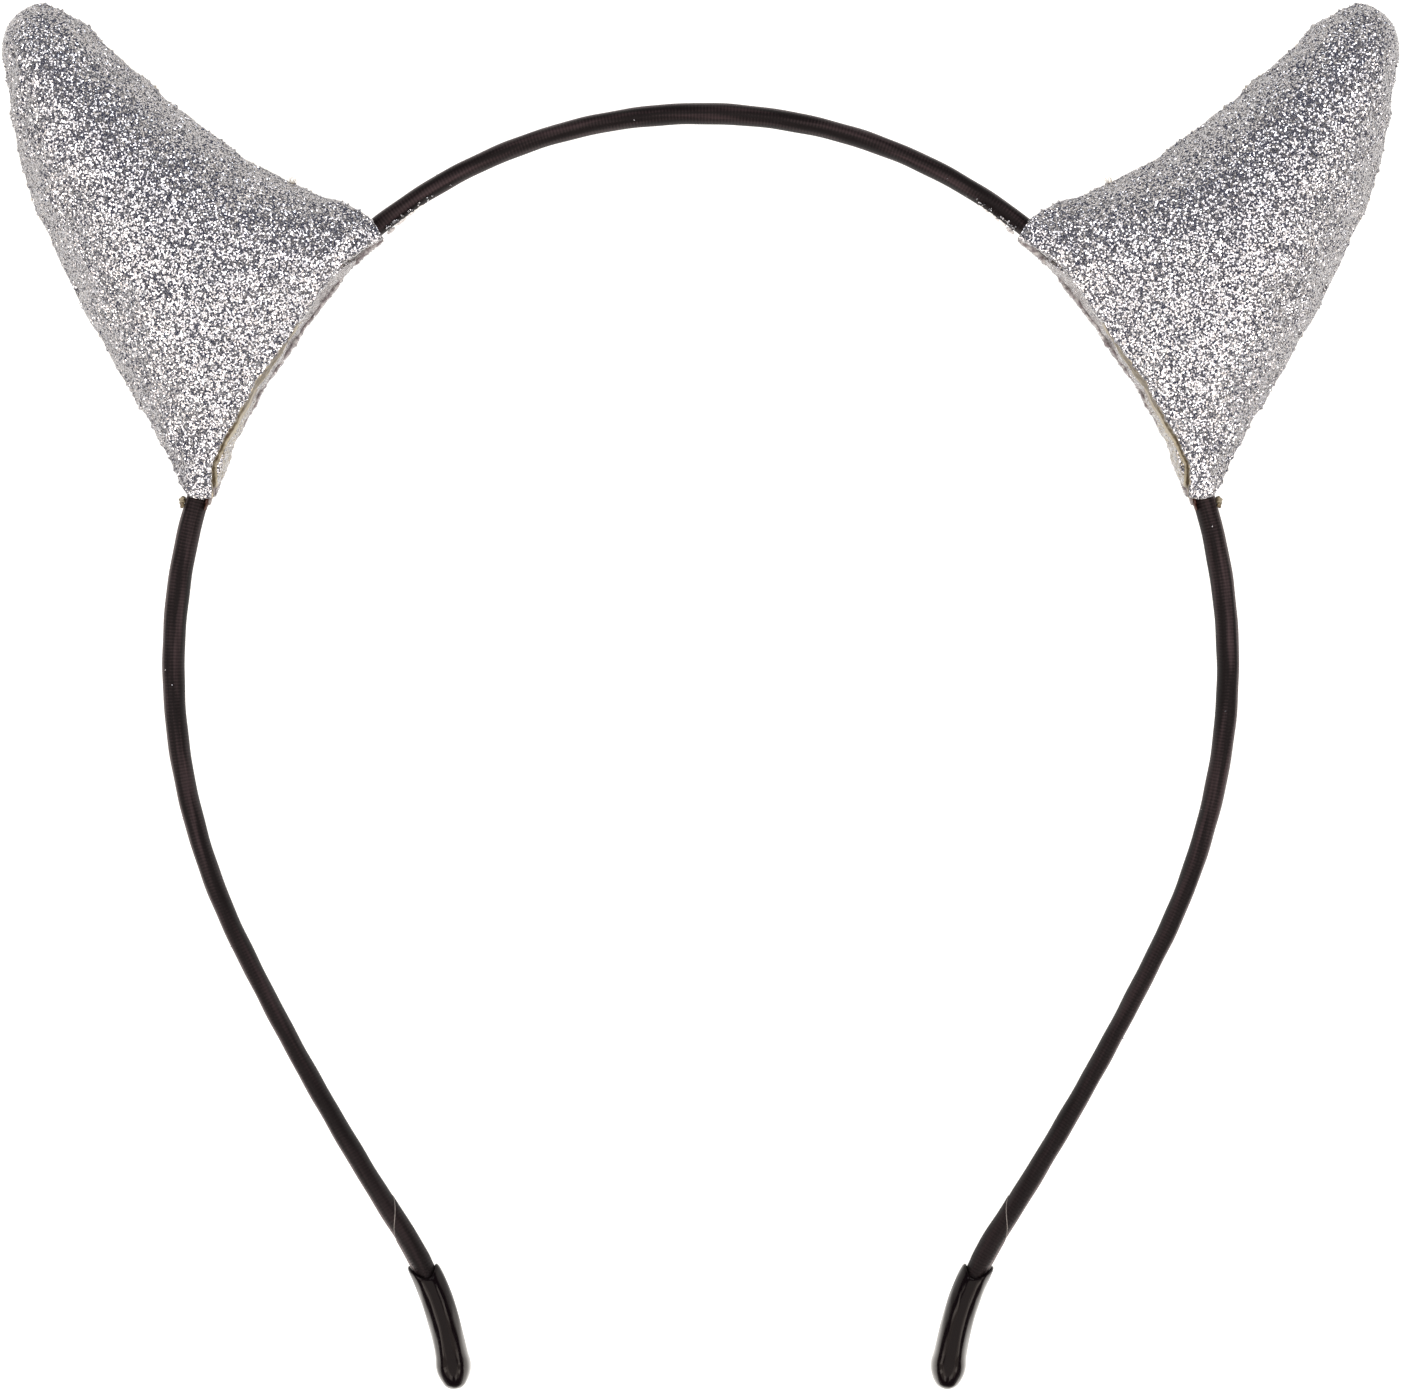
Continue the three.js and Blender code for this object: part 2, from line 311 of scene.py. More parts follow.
# Horn skin on the front half: a section is a half ellipse standing on its two side edges
def hornSkin(across, up, inset):
    sections = np.array(horn["sections"])
    low = throughRows(sections[:, 0:2], up)
    high = throughRows(sections[:, 2:4], up)
    bow, puff, opened = np.moveaxis(throughRows(sections[:, 4:7], up), -1, 0)
    opened = np.clip(opened, 0, 1)
    width = np.linalg.norm(high - low, axis=-1)
    edgeWay = (high - low) / width[..., None]
    rise = np.stack([edgeWay[..., 1], -edgeWay[..., 0]], -1)
    ripple = sum(depth * np.sin(2 * np.pi * waves * up + begin) for depth, waves, begin in horn["puckers"])
    side = (inset + ripple) * (1 - opened)
    flat = low + edgeWay * (side + (width - 2 * side) * across)[..., None]
    flat = flat + rise * (4 * bow * across * (1 - across))[..., None]
    toTip = np.clip((up - horn["roundFrom"]) / (1 - horn["roundFrom"]), 0, 1)
    openHeight = band["depth"] / 2 + horn["gap"] + horn["cloth"]
    edge = np.maximum(horn["seam"], (openHeight - inset) * opened)
    middle = np.maximum(edge, (puff - inset) * np.sqrt(1 - toTip ** 2))
    height = edge + (middle - edge) * np.sqrt(np.clip(1 - (2 * across - 1) ** 2, 0, 1))
    place = (band["arcs"][0][0] + flat[..., :1]) * outward + flat[..., 1:] * alongBand
    return np.concatenate([place, height[..., None]], -1)


# Table top in the hoop's frame: it touches the tips and the pressed backs of the horns
tipDepth = (band["depth"] - band["thickness"]) / 2
tipShare, tipHalfWidth = max(tip["rings"], key=lambda ring: ring[1])
tipTouch = besideBand(tipMouth + tipShare * tip["length"], 0.0, -(tipHalfWidth + tipDepth))
hornTouch = hornSkin(np.array(0.5), np.array(horn["restRow"] / (len(horn["sections"]) - 1)), 0.0)
tableSlope = (tipTouch[2] - (horn["flattened"] - hornTouch[2])) / (tipTouch[1] - hornTouch[1])
tilt = -math.atan(tableSlope)
crownTop = (band["arcs"][0][0] + band["thickness"] / 2) * math.cos(tilt)
rowShift = np.array([0.0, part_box("band")[1].y * 1000 - crownTop,
                     -(tipTouch[1] * math.sin(tilt) + tipTouch[2] * math.cos(tilt))])


# Height of the table under points, which rises by an equal step for each step along Y
def tableHeight(points):
    return tipTouch[2] + tableSlope * (points[..., 1] - tipTouch[1])


# Hoop frame in millimetres to the row frame in metres: turned about X, then set on the table
def lay(points):
    y = points[..., 1] * math.cos(tilt) - points[..., 2] * math.sin(tilt)
    z = points[..., 1] * math.sin(tilt) + points[..., 2] * math.cos(tilt)
    return (np.stack([points[..., 0], y, z], -1) + rowShift) * 0.001


# Left side as drawn, right side as its mirror image, both laid down
def laySide(points, side):
    return lay(points if side == "left" else points * rightward)


print("hoop laid down, tilt", round(math.degrees(tilt), 2), "degrees")

# Camera straight over the hoop's plane, framed as the photograph is
photo = {
    "width": 1403,
    "height": 1394,
    "pixel": 0.121,  # millimetres on the hoop's plane
    "crownMiddle": (700.7, 632.6),  # where the crown arc's centre falls, in pixels
    "distance": 520.0,  # from the eye to that plane
    "sensor": 36.0,
}
eye = np.array([(photo["width"] / 2 - photo["crownMiddle"][0]) * photo["pixel"],
                (photo["crownMiddle"][1] - photo["height"] / 2) * photo["pixel"], photo["distance"]])
cameraData = bpy.data.cameras.new("camera")
cameraData.sensor_width = photo["sensor"]
cameraData.lens = photo["sensor"] * photo["distance"] / (photo["width"] * photo["pixel"])
cameraData.clip_start = 0.01
camera = bpy.data.objects.new("camera", cameraData)
camera.location = lay(eye).tolist()
camera.rotation_euler = (tilt, 0.0, 0.0)
scene.collection.objects.link(camera)
scene.camera = camera
print("camera set")


# Glitter cloth: flakes of aluminised film glued to a grey cloth; each lies at its own angle, so some
# flash the light while their neighbours stay grey, and dark ground shows in the gaps between them
glitter = {
    "flake": 0.2,  # millimetres from flake to flake, a little coarser than the finest so that they show
    "lean": 0.88,  # steepest lean along each axis, as a slope; most flakes lie far flatter
    "gap": (0.03, 0.12),  # ground between flakes, in shares of a flake
    "roughness": 0.07,
    "patch": 0.9,  # millimetres across the worn patches at the cut edge
    "worn": (0.95, 1.15),  # wear where the flakes begin to go and where all are gone
    "coolFilm": "#bec0c7",
    "warmFilm": "#cec8c4",
    "ground": "#2a292b",
    "bare": "#b5a78b",
}


def glitterCloth():
    material, tree = newMaterial("aluminised glitter cloth")
    place = addNode(tree, "TexCoord").outputs["Object"]
    cells = {"Vector": place, "Scale": 1000 / glitter["flake"]}
    flakes = addNode(tree, "TexVoronoi", cells)
    rims = addNode(tree, "TexVoronoi", cells, feature="DISTANCE_TO_EDGE")
    chance = addNode(tree, "VectorMath",
                     {0: flakes.outputs["Color"], 1: (2.0, 2.0, 2.0), 2: (-1.0, -1.0, -1.0)},
                     operation="MULTIPLY_ADD")
    size = addNode(tree, "VectorMath", {0: chance}, operation="ABSOLUTE")
    squared = addNode(tree, "VectorMath", {0: chance, 1: size}, operation="MULTIPLY")
    straight = addNode(tree, "NewGeometry").outputs["Normal"]
    leaning = addNode(tree, "VectorMath",
                      {0: squared, 1: (glitter["lean"],) * 3, 2: straight}, operation="MULTIPLY_ADD")
    normal = addNode(tree, "VectorMath", {0: leaning}, operation="NORMALIZE")
    patches = addNode(tree, "TexNoise", {"Vector": place, "Scale": 1000 / glitter["patch"], "Detail": 3.0})
    edgeWear = addNode(tree, "Attribute", attribute_name="bare").outputs["Fac"]
    wear = addNode(tree, "Math", {0: patches.outputs["Fac"], 1: edgeWear}, operation="ADD")
    worn = addNode(tree, "MapRange",
                   {"Value": wear, "From Min": glitter["worn"][0], "From Max": glitter["worn"][1]})
    whole = addNode(tree, "MapRange",
                    {"Value": rims.outputs["Distance"], "From Min": glitter["gap"][0],
                     "From Max": glitter["gap"][1]})
    onFlake = addNode(tree, "Math", {0: whole, 1: worn}, operation="SUBTRACT", use_clamp=True)
    film = addNode(tree, "Mix",
                   {"Factor": flakes.outputs["Color"], "A": glitter["coolFilm"], "B": glitter["warmFilm"]},
                   data_type="RGBA")
    ground = addNode(tree, "Mix",
                     {"Factor": worn, "A": glitter["ground"], "B": glitter["bare"]}, data_type="RGBA")
    colour = addNode(tree, "Mix",
                     {"Factor": onFlake, "A": ground.outputs["Result"], "B": film.outputs["Result"]},
                     data_type="RGBA")
    rough = addNode(tree, "MapRange", {"Value": onFlake, "To Min": 0.75, "To Max": glitter["roughness"]})
    bsdf = addNode(tree, "BsdfPrincipled",
                   {"Base Color": colour.outputs["Result"], "Metallic": onFlake, "Roughness": rough,
                    "Normal": normal})
    addNode(tree, "OutputMaterial", {"Surface": bsdf})
    return material


# Knitted polyester backing, left raw at the cut base: pale, soft, slightly fuzzy loops
backing = {
    "loop": 0.45,  # millimetres from loop to loop
    "fibre": 0.8,
    "dark": "#857a67",
    "light": "#d9cfbd",
}


def knitBacking():
    material, tree = newMaterial("knitted polyester backing")
    place = addNode(tree, "TexCoord").outputs["Object"]
    loops = addNode(tree, "TexVoronoi", {"Vector": place, "Scale": 1000 / backing["loop"]})
    fibre = addNode(tree, "TexNoise", {"Vector": place, "Scale": 1000 / backing["fibre"], "Detail": 5.0})
    colour = addNode(tree, "Mix",
                     {"Factor": fibre.outputs["Fac"], "A": backing["dark"], "B": backing["light"]},
                     data_type="RGBA")
    relief = addNode(tree, "Bump", {"Height": loops.outputs["Distance"], "Distance": 0.0002})
    bsdf = addNode(tree, "BsdfPrincipled",
                   {"Base Color": colour.outputs["Result"], "Roughness": 0.9, "Sheen Weight": 0.2,
                    "Normal": relief})
    addNode(tree, "OutputMaterial", {"Surface": bsdf})
    return material


# Satin ribbon, woven polyester dyed brown black: fine cross ribs and a low sheen; it is doubled over round
# the band, with a painted sheen, a lighter stripe, along the outer side, and painted shade darkening it
# toward the ends, and along the edge of its last lap, which winds round the band near each end, one pale
# thread shows
def satinRibbon():
    material, tree = newMaterial("woven satin ribbon")
    place = addNode(tree, "UVMap", uv_map="ribbon").outputs["UV"]
    # a wave texture repeats twenty times in each two pi of its scaled length
    ribs = addNode(tree, "TexWave",
                   {"Vector": place, "Scale": 2 * math.pi / (20 * band["rib"]), "Distortion": 1.0},
                   wave_type="BANDS", bands_direction="X")
    drawn = addNode(tree, "Mapping",
                    {"Vector": place, "Scale": (1 / band["streak"][0], 1 / band["streak"][1], 1.0)})
    streaks = addNode(tree, "TexNoise", {"Vector": drawn, "Scale": 1.0, "Detail": 3.0})
    ribbed = addNode(tree, "Math",
                     {0: ribs.outputs["Fac"], 1: band["ribWeight"], 2: streaks.outputs["Fac"]},
                     operation="MULTIPLY_ADD")
    lightness = addNode(tree, "MapRange",
                        {"Value": ribbed, "From Min": band["lit"][0], "From Max": band["lit"][1]})
    inner, outer = band["lapFromMouth"]
    ribbonPlace = addNode(tree, "SeparateXYZ", {"Vector": place})
    along, around = ribbonPlace.outputs["X"], ribbonPlace.outputs["Y"]
    away = addNode(tree, "Math", {0: along}, operation="ABSOLUTE")
    # painted shade: darker toward the ends, against the light from the table's bright strip under the tips
    endShadeFactor = addNode(tree, "MapRange",
                    {"Value": away, "From Min": tipMouth - band["paintedEndShade"][0],
                     "From Max": tipMouth - band["paintedEndShade"][1], "To Min": 1.0,
                     "To Max": band["paintedEndShadeLight"]})
    tone = addNode(tree, "Math", {0: lightness, 1: endShadeFactor}, operation="MULTIPLY")
    lapEdge = addNode(tree, "Math",
                      {0: around, 1: 2 * (inner - outer) / ribbonRound, 2: tipMouth - inner},
                      operation="MULTIPLY_ADD")
    fromEdge = addNode(tree, "Math", {0: away, 1: lapEdge}, operation="SUBTRACT")
    off = addNode(tree, "Math", {0: fromEdge}, operation="ABSOLUTE")
    thread = addNode(tree, "MapRange",
                     {"Value": off, "From Min": 0.5 * band["lapLine"], "From Max": 1.2 * band["lapLine"],
                      "To Min": band["threadShows"], "To Max": 0.0})
    weave = addNode(tree, "Mix", {"Factor": tone, "A": band["dark"], "B": band["light"]}, data_type="RGBA")
    # painted sheen: a lighter stripe along the outer side of the ribbon
    offOuter = addNode(tree, "Math", {0: around, 1: ribbonRound / 2}, operation="SUBTRACT")
    offPaintedSheen = addNode(tree, "Math", {0: offOuter}, operation="ABSOLUTE")
    onPaintedSheen = addNode(tree, "MapRange",
                     {"Value": offPaintedSheen, "From Min": band["paintedSheen"][0] * ribbonRound,
                      "From Max": band["paintedSheen"][1] * ribbonRound, "To Min": band["paintedSheenShows"],
                      "To Max": 0.0})
    withPaintedSheen = addNode(tree, "Mix",
                     {"Factor": onPaintedSheen, "A": weave.outputs["Result"], "B": band["paintedSheenLight"]},
                     data_type="RGBA")
    colour = addNode(tree, "Mix",
                     {"Factor": thread, "A": withPaintedSheen.outputs["Result"], "B": band["thread"]},
                     data_type="RGBA")
    relief = addNode(tree, "Bump", {"Height": ribs.outputs["Fac"], "Strength": 0.4, "Distance": 0.00006})
    bsdf = addNode(tree, "BsdfPrincipled",
                   {"Base Color": colour.outputs["Result"], "Roughness": 0.55, "Specular IOR Level": 0.08,
                    "Sheen Weight": 0.06, "Sheen Roughness": 0.35, "Normal": relief})
    addNode(tree, "OutputMaterial", {"Surface": bsdf})
    return material


# Dipped soft vinyl: a glossy black skin with long slow runs down it from before it set, so that lights
# show in it as bent streaks
vinyl = {
    "runs": (11.0, 1.9),  # length and width of the runs, in millimetres
    "specks": 0.5,
    "roughness": (0.08, 0.2),
    "ior": 1.19,  # under solid vinyl's, to match how little the skin mirrors from above
    "skin": "#0a0607",
    "shine": "#fff5ec",
}


def dippedVinyl():
    material, tree = newMaterial("dipped black vinyl")
    place = addNode(tree, "TexCoord").outputs["Object"]
    drawn = addNode(tree, "Mapping",
                    {"Vector": place,
                     "Scale": (1000 / vinyl["runs"][1], 1000 / vinyl["runs"][0], 1000 / vinyl["runs"][1])})
    runs = addNode(tree, "TexNoise", {"Vector": drawn, "Scale": 1.0, "Detail": 1.0})
    specks = addNode(tree, "TexNoise", {"Vector": place, "Scale": 1000 / vinyl["specks"], "Detail": 4.0})
    smear = addNode(tree, "MapRange",
                    {"Value": specks.outputs["Fac"], "From Min": 0.3, "From Max": 0.75,
                     "To Min": vinyl["roughness"][0], "To Max": vinyl["roughness"][1]})
    relief = addNode(tree, "Bump", {"Height": runs.outputs["Fac"], "Strength": 0.4, "Distance": 0.0005})
    bsdf = addNode(tree, "BsdfPrincipled",
                   {"Base Color": vinyl["skin"], "Roughness": smear, "IOR": vinyl["ior"],
                    "Specular Tint": vinyl["shine"], "Normal": relief})
    addNode(tree, "OutputMaterial", {"Surface": bsdf})
    return material


# Hot-melt glue, pressed out and set: cloudy and dull; thin smears are white, the strip is grey where
# dust of flakes sank into it, beige where it is clean and brown where it scorched; its dark olive tone also
# paints shade beside the front panel's edge
glueSkin = {
    "cloud": 0.6,  # millimetres across a cloudy patch
    "clouding": 0.12,  # how far it shifts the tone
    "tones": [(0.0, "#dcd8d2"), (0.25, "#6e6466"), (0.55, "#a0967f"), (0.8, "#574c37"), (1.0, "#38190f")],
}


def driedGlue():
    material, tree = newMaterial("set hot-melt glue")
    place = addNode(tree, "TexCoord").outputs["Object"]
    cloud = addNode(tree, "TexNoise", {"Vector": place, "Scale": 1000 / glueSkin["cloud"], "Detail": 4.0})
    tone = addNode(tree, "Attribute", attribute_name="tone").outputs["Fac"]
    clouded = addNode(tree, "MapRange",
                      {"Value": cloud.outputs["Fac"], "From Min": 0.3, "From Max": 0.7,
                       "To Min": -glueSkin["clouding"], "To Max": glueSkin["clouding"]})
    shade = addNode(tree, "Math", {0: tone, 1: clouded}, operation="ADD")
    colour = addNode(tree, "ValToRGB", {"Fac": shade})
    ramp = colour.color_ramp.elements
    while len(ramp) < len(glueSkin["tones"]):
        ramp.new(1.0)
    for stop, (position, text) in zip(ramp, glueSkin["tones"]):
        stop.position = position
        stop.color = hexColour(text)
    relief = addNode(tree, "Bump", {"Height": cloud.outputs["Fac"], "Strength": 0.6, "Distance": 0.0002})
    bsdf = addNode(tree, "BsdfPrincipled",
                   {"Base Color": colour.outputs["Color"], "Roughness": 0.5, "Specular IOR Level": 0.3,
                    "Normal": relief})
    addNode(tree, "OutputMaterial", {"Surface": bsdf})
    return material


# Polyester wadding: loose white fibre, no gloss
looseFibre = {"clump": 1.5, "dark": "#cfccc4", "light": "#f6f5f1"}  # clump in millimetres


def fibreWadding():
    material, tree = newMaterial("polyester fibre wadding")
    place = addNode(tree, "TexCoord").outputs["Object"]
    fibre = addNode(tree, "TexNoise", {"Vector": place, "Scale": 1000 / looseFibre["clump"], "Detail": 6.0})
    colour = addNode(tree, "Mix",
                     {"Factor": fibre.outputs["Fac"], "A": looseFibre["dark"], "B": looseFibre["light"]},
                     data_type="RGBA")
    relief = addNode(tree, "Bump", {"Height": fibre.outputs["Fac"], "Distance": 0.0005})
    bsdf = addNode(tree, "BsdfPrincipled",
                   {"Base Color": colour.outputs["Result"], "Roughness": 0.95, "Normal": relief})
    addNode(tree, "OutputMaterial", {"Surface": bsdf})
    return material


glitterLook = glitterCloth()
backingLook = knitBacking()
satinLook = satinRibbon()
vinylLook = dippedVinyl()
glueLook = driedGlue()
waddingLook = fibreWadding()
print("materials made")


# Ribbon band: an oval carried along the middle line, swelled by slow waves and by the last lap
# of ribbon, whose edge moves toward the end by an equal step for each part of a turn
def ribbonBand():
    half = tipMouth + band["endInTip"]
    distance = np.linspace(-half, half, band["alongSteps"])[:, None]
    angle = np.linspace(0, 2 * np.pi, band["aroundSteps"], endpoint=False)[None, :]
    away = np.abs(distance)
    innerEdge, outerEdge = band["lapFromMouth"]
    lapEdge = tipMouth - innerEdge + (innerEdge - outerEdge) * angle / np.pi
    lap = smoothStep(-band["lapEase"], band["lapEase"], away - lapEdge)
    lap = lap * (1 - smoothStep(-band["lapSinks"], 0.0, away - tipMouth))
    wave = sum(np.sin(along * distance + turns * angle + begin) for along, turns, begin in band["waves"])
    swell = band["lapStep"] * lap + band["unevenness"] * wave / len(band["waves"])
    rows = np.array(band["widths"])[:, None]
    width = throughRows(rows, away / (band["widthStep"] * (len(rows) - 1)))[..., 0]
    inward = (width / 2 + swell) * np.cos(angle)
    front = (band["depth"] / 2 + swell) * np.sin(angle)
    points = besideBand(away + 0 * angle, inward, front)
    points[..., 0] *= np.where(distance > 0, -1, 1)
    uv = np.stack(np.broadcast_arrays(distance, angle / (2 * np.pi) * ribbonRound), -1)
    piece = quadPiece("ribbon_band", lay(points), shellFaces(*points.shape[:2]), [satinLook], uv=uv,
                      wrap=ribbonRound)
    return finishPiece(piece, "satin", "band")


# Tip: one ring profile from the bottom of the bore up to the mouth and down the outside; near the
# mouth the rings dip at the front and back by the square of the sine round them, and rise on the
# outer side as the cosine falls
def dippedTip(side):
    rings = np.array(tip["rings"])
    lip = np.linspace(0, tip["lip"], tip["lipSteps"], endpoint=False)
    sleeve = np.linspace(tip["lip"], 1 - tip["lip"], tip["sleeveSteps"], endpoint=False)
    roundEnd = 1 - tip["lip"] * np.cos(np.linspace(0, np.pi / 2, tip["roundSteps"]))
    share = np.concatenate([lip, sleeve, roundEnd])
    fine = throughRows(rings, np.linspace(0, 1, 400))
    width = np.interp(share, fine[:, 0], fine[:, 1])
    roundOff = np.minimum(1, width / rings[0, 1])
    bore = np.linspace(tip["bore"], 0, tip["boreSteps"])
    fromMouth = np.concatenate([bore, share * tip["length"]])[:, None]
    boreWidth = np.full(len(bore), band["thickness"] / 2 + tip["gap"])
    boreDepth = np.full(len(bore), band["depth"] / 2 + tip["gap"])
    halfWidth = np.concatenate([boreWidth, width])[:, None]
    halfDepth = np.concatenate([boreDepth, width + tipDepth * roundOff])[:, None]
    angle = np.linspace(0, 2 * np.pi, tip["aroundSteps"], endpoint=False)[None, :]
    dip = tip["scallop"] * np.sin(angle) ** 2 - tip["skew"] * (1 - np.cos(angle)) / 2
    dip = dip * (1 - smoothStep(0, tip["scallopFades"], fromMouth))
    points = besideBand(tipMouth + fromMouth + dip, halfWidth * np.cos(angle), halfDepth * np.sin(angle))
    faces = shellFaces(*points.shape[:2])
    piece = quadPiece(f"dipped_tip_{side}", laySide(points, side), faces, [vinylLook])
    return finishPiece(piece, "dipped_plastic", f"tip_{side}")


# Rows at even distances along the middle of the horn, as shares of the section table
def evenRows(count, start=0.0, end=1.0):
    fine = np.linspace(start, end, 600)
    line = hornSkin(np.full(600, 0.5), fine, 0.0)
    run = np.concatenate([[0], np.cumsum(np.linalg.norm(np.diff(line, axis=0), axis=1))])
    return np.interp(np.linspace(0, run[-1], count), run, fine)


# Columns at even angles of a section's half ellipse
def evenColumns(count):
    return (1 - np.cos(np.linspace(0, np.pi, count))) / 2


# Cloth under the table's level is pressed on to it: the height over the table falls off as an
# exponential once it is less than the softness
def pressed(points, inset):
    table = tableHeight(points) + inset
    softness = horn["softness"]
    over = points[..., 2] - table
    eased = table + np.where(over > softness, over, softness * np.exp(np.minimum(over / softness, 1) - 1))
    return np.concatenate([points[..., :2], eased[..., None]], -1)


# Stuffed bag: front and back as one closed skin with its seams and base held; it is cut a little
# large, so pressure swells it between the seams and the spare cloth puckers beside them
stuffing = {
    "acrossSteps": 40,
    "alongSteps": 58,
    "spare": 0.015,
    "pressure": 3.0,
    "stiffness": 20,
    "bending": 1.0,
    "frames": 20,
    "enlarged": 10,  # the solver is steadier on a bag this many times the size
    "most": 0.8,  # millimetres that a point may move
}


def stuffedMoves():
    rows, columns = stuffing["alongSteps"], stuffing["acrossSteps"]
    across, up = np.meshgrid(evenColumns(columns), evenRows(rows))
    front = hornSkin(across, up, 0.0)
    back = pressed(front * backward, 0.0)
    start = np.concatenate([front, back[:, ::-1]], 1)
    size = 0.001 * stuffing["enlarged"]
    bag = quadPiece("bag", start * size, shellFaces(rows, 2 * columns), [])
    held = np.ones((rows, 2 * columns))
    held[1:-1, 1:columns - 1] = 0
    held[1:-1, columns + 1:-1] = 0
    bag.vertex_groups.new(name="held").add(np.flatnonzero(held).tolist(), 1.0, "REPLACE")
    cloth = bag.modifiers.new("cloth", "CLOTH")
    cloth.settings.quality = 8
    cloth.settings.mass = 0.2
    cloth.settings.tension_stiffness = stuffing["stiffness"]
    cloth.settings.compression_stiffness = stuffing["stiffness"]
    cloth.settings.bending_stiffness = stuffing["bending"]
    cloth.settings.vertex_group_mass = "held"
    cloth.settings.use_pressure = True
    cloth.settings.uniform_pressure_force = stuffing["pressure"]
    cloth.settings.shrink_min = -stuffing["spare"]
    cloth.settings.effector_weights.gravity = 0
    cloth.point_cache.frame_end = stuffing["frames"]
    for step in range(1, stuffing["frames"] + 1):
        scene.frame_set(step)
    result = np.empty(start.size, np.float32)
    bag.evaluated_get(bpy.context.evaluated_depsgraph_get()).data.vertices.foreach_get("co", result)
    bpy.data.objects.remove(bag)
    scene.frame_set(1)
    move = result.reshape(start.shape) / size - start
    length = np.maximum(np.linalg.norm(move, axis=-1, keepdims=True), 1e-9)
    print("bag stuffed, cloth moved up to", round(float(length.max()), 2), "mm before the cap")
    move = move * stuffing["most"] * np.tanh(length / stuffing["most"]) / length
    return {"front": move[:, :columns], "back": move[:, :columns - 1:-1]}


# How far a panel's cut base hangs toward the head, past the sections' own base
def baseReach(face, across):
    reach = np.interp(across, *np.array(horn["reach"][face]).T)
    for depth, waves, begin in horn["cutWaves"]:
        reach = reach + depth * np.sin(2 * np.pi * waves * across + begin)
    return reach


# Horn panel: outer and inner skin of the cloth, joined at the rims; both take the stuffed bag's
# moves, and the outer one gets the grit of the flakes along its normals
def hornPanel(side, face, move):
    rows, columns = horn["alongSteps"], horn["acrossSteps"]
    across, up = np.meshgrid(evenColumns(columns), evenRows(rows))
    ends = hornSkin(np.array([0.5, 0.5]), np.array([0.0, 1.0]), 0.0)
    innerUp = up * (1 - horn["cloth"] / np.linalg.norm(ends[1] - ends[0]))
    outer = hornSkin(across, up, 0.0)
    inner = hornSkin(across, innerUp, horn["cloth"])
    if face == "back":
        outer = outer * backward
        inner = inner * backward
    random = np.random.default_rng(horn["seeds"][face])
    raw = random.normal(0, horn["rawEdge"], columns) * (1 - smoothStep(0, horn["rawFades"], up))
    reach = raw + baseReach(face, across) * (1 - smoothStep(0, horn["reachFades"], up))
    move = finerGrid(move, rows, columns) - reach[..., None] * np.append(outward, 0)
    outer = outer + move
    inner = inner + move
    normal = np.cross(np.gradient(outer, axis=1), np.gradient(outer, axis=0))
    normal = normal / np.maximum(np.linalg.norm(normal, axis=-1, keepdims=True), 1e-9)
    normal = normal * np.sign(np.sum(normal[..., 2])) * (1 if face == "front" else -1)
    grit = random.normal(0, horn["grit"], (rows, columns))
    grit = grit + horn["proud"] * (random.random((rows, columns)) < horn["proudFlakes"])
    rim = 1 - smoothStep(0, horn["frayWidth"], across) * smoothStep(0, horn["frayWidth"], 1 - across)
    outer = outer + normal * (grit * (1 + horn["fray"] * rim))[..., None]
    if face == "back":
        outer = pressed(outer, 0.0)
        inner = pressed(inner, horn["cloth"])
        outer[..., 2] = np.maximum(outer[..., 2], tableHeight(outer))
    points = np.concatenate([outer, inner[:, ::-1]], 1)
    faces = shellFaces(rows, 2 * columns)
    row, column = np.divmod(np.arange((rows - 1) * 2 * columns), 2 * columns)
    # glue has run into the front panel's cut base on its lower half, drawn dark olive for the glue and for
    # painted shade under the edge, and it is flaked above that
    soakedAndShaded = (across[0, :columns - 1] < horn["soakedAndShaded"]) & (face == "front")
    inside = column >= columns - 1
    glued = inside & (row < horn["soakedRows"]) & (face == "back")
    slots = np.concatenate([inside + 1 * glued, 2 * soakedAndShaded, 0 * soakedAndShaded])
    fromBase = np.linalg.norm(outer - outer[:1], axis=-1)
    bare = horn["bare"] * (face == "front") * (1 - smoothStep(0, horn["bareEdge"], fromBase))
    bare = bare * (1 - smoothStep(*horn["bareTo"], across))
    bare = np.concatenate([bare, bare[:, ::-1]], 1)
    piece = quadPiece(f"glitter_horn_{side}_{face}", laySide(points, side), faces,
                      [glitterLook, backingLook, glueLook], slots=slots,
                      attributes={"bare": bare, "tone": np.full(bare.shape, horn["soakedAndShadeTone"][face])})
    return finishPiece(piece, "glitter_cloth", f"horn_{side}_{face}")


# Wadding: the horn's skin drawn in by the cloth and a small gap, front and back in one ring
wadding = {
    "alongSteps": 60,
    "acrossSteps": 44,
    "from": 0.22,  # share of the horn's sections where it starts, past the band
    "short": 0.025,
    "fill": 0.8,
}


def hornWadding(side):
    inset = horn["cloth"] + horn["gap"]
    rows = evenRows(wadding["alongSteps"], wadding["from"], 1 - wadding["short"])
    across, up = np.meshgrid(evenColumns(wadding["acrossSteps"]), rows)
    front = hornSkin(across, up, inset)
    back = pressed(front * backward, inset)
    points = np.concatenate([front, back[:, ::-1]], 1)
    faces = shellFaces(*points.shape[:2])
    piece = quadPiece(f"wadding_{side}", laySide(points, side), faces, [waddingLook])
    finishPiece(piece, "wadding", f"horn_{side}_filling")
    return piece


